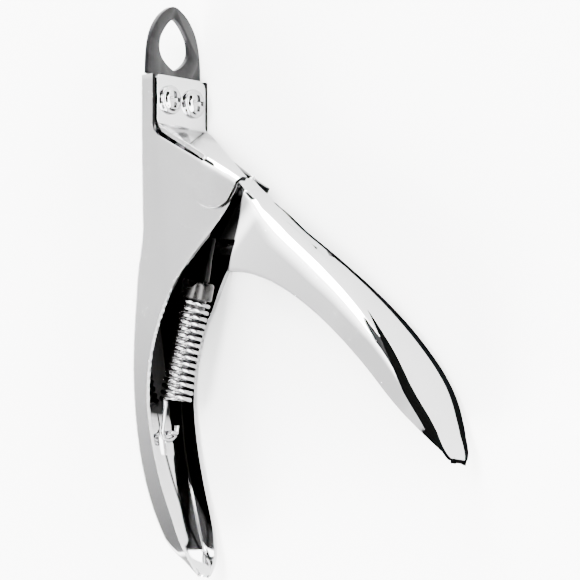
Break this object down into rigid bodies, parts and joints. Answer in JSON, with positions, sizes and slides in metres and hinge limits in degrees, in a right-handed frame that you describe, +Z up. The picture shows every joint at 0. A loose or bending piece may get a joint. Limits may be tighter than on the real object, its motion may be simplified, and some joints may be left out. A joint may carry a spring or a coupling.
{
  "type": "pet nail trimmer",
  "caption": "Guillotine pet nail trimmer: chromed channel handles, spring return, and a lever-driven blade that slides across a fixed cutting ring.",
  "frame": {"origin": "centre of the bounding box's bottom face; the trimmer lies on its side, with the head's lower flange on z = 0", "axes": "+Y along the tool towards the cutting ring, +X from the fixed handle's back towards the moving handle, +Z up from the side it lies on"},
  "size_m": [0.0946, 0.1378, 0.02],
  "materials": {
    "chrome_body": "mirror chrome plate",
    "chrome_lever": "mirror chrome plate",
    "chrome_cover": "mirror chrome plate",
    "screw_steel": "plated, polished",
    "dark_steel": "dark hardened steel, fine ground",
    "blade_steel": "ground tool steel",
    "plain_steel": "plain steel",
    "spring_steel": "bright drawn wire",
    "plug_steel": "turned, satin"
  },
  "bodies": {
    "body": {"fixed_handle": "chrome_body", "cutting_ring": "dark_steel", "cover_plate": "chrome_cover", "cover_screws": "screw_steel", "pivot_pin": "plain_steel"},
    "blade": {"cutting_blade": "blade_steel"},
    "lever": {"moving_handle": "chrome_lever", "drive_arm": "plain_steel", "link_pin": "plain_steel"},
    "spring_lower": {"return_spring": "spring_steel"},
    "spring_upper": {"spring_plug": "plug_steel", "spring_link": "dark_steel"}
  },
  "joints": [
    {"name": "lever_pivot", "type": "hinge", "parent": "body", "child": "lever", "pos_m": [-0.02206, 0.0231, 0.01], "axis": [0, 0, -1], "range_deg": [0, 50], "stiffness_Nm_per_rad": 0.9, "springref_deg": -6.88},
    {"name": "blade_slide", "type": "slide", "parent": "body", "child": "blade", "axis": [0, 1, 0], "range_m": [0, 0.01581]},
    {"name": "spring_swing", "type": "hinge", "parent": "body", "child": "spring_lower", "pos_m": [-0.04335, -0.0346, 0.01], "axis": [0, 0, 1], "range_deg": [0, 6.6]},
    {"name": "spring_stretch", "type": "slide", "parent": "spring_lower", "child": "spring_upper", "axis": [0.2551, 0.9669, 0], "range_m": [0, 0.00803], "deforming": ["return_spring"]}
  ],
  "couplings": [
    {"joint": "blade_slide", "follows": "lever_pivot", "m_per_rad": 0.018112},
    {"joint": "spring_swing", "follows": "lever_pivot", "ratio": 0.132},
    {"joint": "spring_stretch", "follows": "lever_pivot", "m_per_rad": 0.0092}
  ]
}
